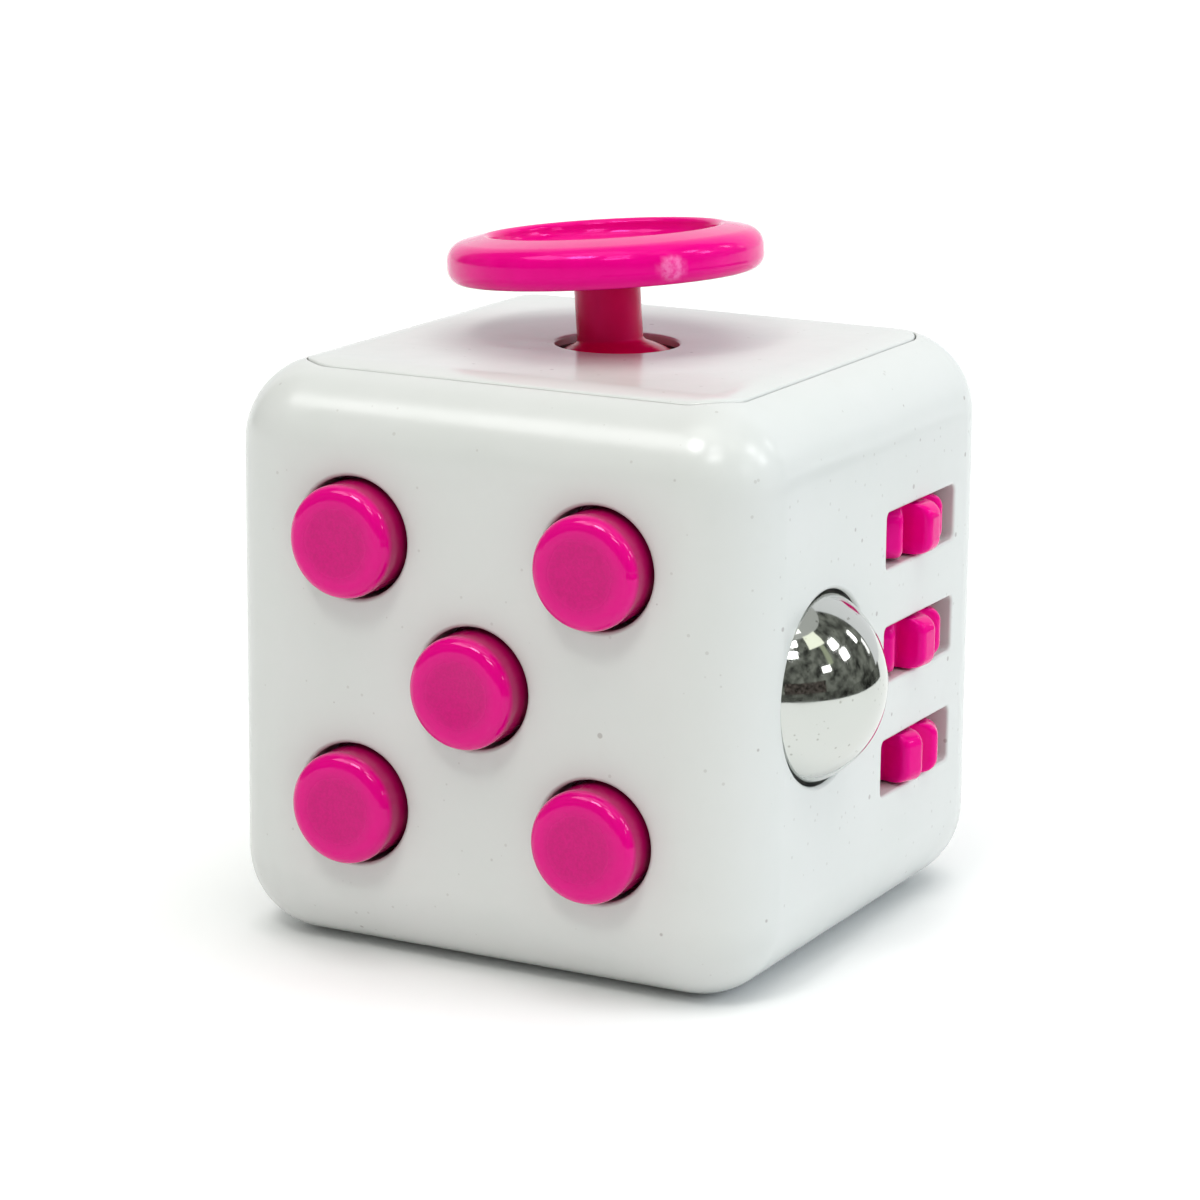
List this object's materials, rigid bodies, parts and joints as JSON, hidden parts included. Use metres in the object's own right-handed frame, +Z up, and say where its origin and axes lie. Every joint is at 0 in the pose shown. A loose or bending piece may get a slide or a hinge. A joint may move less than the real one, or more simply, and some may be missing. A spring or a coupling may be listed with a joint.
{
  "type": "fidget cube",
  "caption": "Fidget cube with push buttons, a clicking rolling ball, notched thumb wheels, a tilting joystick disc, a rocker switch and a dial set in a rounded white housing",
  "frame": {"origin": "middle of the base of the cube, at the centre of the dial on the underside", "axes": "+Z up through the joystick, -Y out of the button face, +X out of the ball and wheel face, -X out of the thumb rest face, +Y out of the rocker face"},
  "size_m": [0.0362, 0.0376, 0.0399],
  "materials": {
    "white_abs": "glossy white moulded ABS",
    "pink_abs": "glossy hot-pink moulded ABS",
    "chrome": "mirror chrome plating",
    "spring_steel": "bright spring steel",
    "inner_plastic": "plain grey moulding",
    "acetal": "natural acetal"
  },
  "bodies": {
    "root": {"main_housing": "white_abs", "top_panel": "white_abs", "bottom_panel": "white_abs", "core_frame": "inner_plastic", "button_plate": "inner_plastic", "wheel_carrier": "inner_plastic", "wheel_axle": "spring_steel", "pivot_seat": "acetal", "joystick_spring": "spring_steel", "ball_spring": "spring_steel", "rocker_pin": "spring_steel", "rocker_spring": "spring_steel", "carrier_screw_lower": "spring_steel", "carrier_screw_upper": "spring_steel", "plate_screw_left": "spring_steel", "plate_screw_right": "spring_steel", "button_spring_top_left": "spring_steel", "click_dome_top_right": "spring_steel", "click_dome_centre": "spring_steel", "click_dome_bottom_left": "spring_steel", "button_spring_bottom_right": "spring_steel"},
    "pivot_ball": {"pivot_ball": "spring_steel"},
    "joystick": {"joystick_cap": "pink_abs", "joystick_stem": "pink_abs"},
    "ball_cup": {"ball_cup": "acetal"},
    "ball_seat_ring": {"ball_seat_ring": "acetal"},
    "ball": {"ball": "chrome"},
    "rocker": {"rocker": "pink_abs"},
    "dial": {"dial": "pink_abs", "dial_washer": "spring_steel", "dial_screw": "spring_steel"},
    "button_top_left": {"button_top_left": "pink_abs"},
    "button_top_right": {"button_top_right": "pink_abs"},
    "button_centre": {"button_centre": "pink_abs"},
    "button_bottom_left": {"button_bottom_left": "pink_abs"},
    "button_bottom_right": {"button_bottom_right": "pink_abs"},
    "wheel_bottom": {"wheel_bottom": "pink_abs"},
    "wheel_middle": {"wheel_middle": "pink_abs"},
    "wheel_top": {"wheel_top": "pink_abs"}
  },
  "joints": [
    {"name": "press_top_left", "type": "slide", "parent": "root", "child": "button_top_left", "axis": [0, 1, 0], "range_m": [0, 0.001], "stiffness_N_per_m": 450, "deforming": ["button_spring_top_left"]},
    {"name": "press_top_right", "type": "slide", "parent": "root", "child": "button_top_right", "axis": [0, 1, 0], "range_m": [0, 0.001], "stiffness_N_per_m": 900, "deforming": ["click_dome_top_right"]},
    {"name": "press_centre", "type": "slide", "parent": "root", "child": "button_centre", "axis": [0, 1, 0], "range_m": [0, 0.001], "stiffness_N_per_m": 900, "deforming": ["click_dome_centre"]},
    {"name": "press_bottom_left", "type": "slide", "parent": "root", "child": "button_bottom_left", "axis": [0, 1, 0], "range_m": [0, 0.001], "stiffness_N_per_m": 900, "deforming": ["click_dome_bottom_left"]},
    {"name": "press_bottom_right", "type": "slide", "parent": "root", "child": "button_bottom_right", "axis": [0, 1, 0], "range_m": [0, 0.001], "stiffness_N_per_m": 450, "deforming": ["button_spring_bottom_right"]},
    {"name": "joystick_tilt_front_back", "type": "hinge", "parent": "root", "child": "pivot_ball", "pos_m": [0, 0, 0.027], "axis": [1, 0, 0], "range_deg": [-9, 12], "stiffness_Nm_per_rad": 0.02},
    {"name": "joystick_tilt_left_right", "type": "hinge", "parent": "pivot_ball", "child": "joystick", "pos_m": [0, 0, 0.027], "axis": [0, 0.9997, -0.0262], "range_deg": [-5.5, 15.5], "stiffness_Nm_per_rad": 0.02},
    {"name": "ball_press", "type": "slide", "parent": "root", "child": "ball_cup", "axis": [-1, 0, 0], "range_m": [0, 0.001], "stiffness_N_per_m": 900, "deforming": ["ball_spring"]},
    {"name": "ball_roll_about_x", "type": "hinge", "parent": "ball_cup", "child": "ball_seat_ring", "pos_m": [0.01395, -0.00683, 0.0165], "axis": [1, 0, 0], "continuous": true},
    {"name": "ball_roll_about_z", "type": "hinge", "parent": "ball_seat_ring", "child": "ball", "pos_m": [0.01395, -0.00683, 0.0165], "axis": [0, 0, 1], "continuous": true},
    {"name": "wheel_bottom_spin", "type": "hinge", "parent": "root", "child": "wheel_bottom", "pos_m": [0.0131, 0.00566, 0.00993], "axis": [0, 0, 1], "continuous": true},
    {"name": "wheel_middle_spin", "type": "hinge", "parent": "root", "child": "wheel_middle", "pos_m": [0.0131, 0.00566, 0.0165], "axis": [0, 0, 1], "continuous": true},
    {"name": "wheel_top_spin", "type": "hinge", "parent": "root", "child": "wheel_top", "pos_m": [0.0131, 0.00566, 0.02307], "axis": [0, 0, 1], "continuous": true},
    {"name": "dial_spin", "type": "hinge", "parent": "root", "child": "dial", "pos_m": [0, 0, 0.0003], "axis": [0, 0, -1], "continuous": true},
    {"name": "rocker_flip", "type": "hinge", "parent": "root", "child": "rocker", "pos_m": [0, 0.0145, 0.0165], "axis": [-1, 0, 0], "range_deg": [0, 24], "deforming": ["rocker_spring"]}
  ]
}
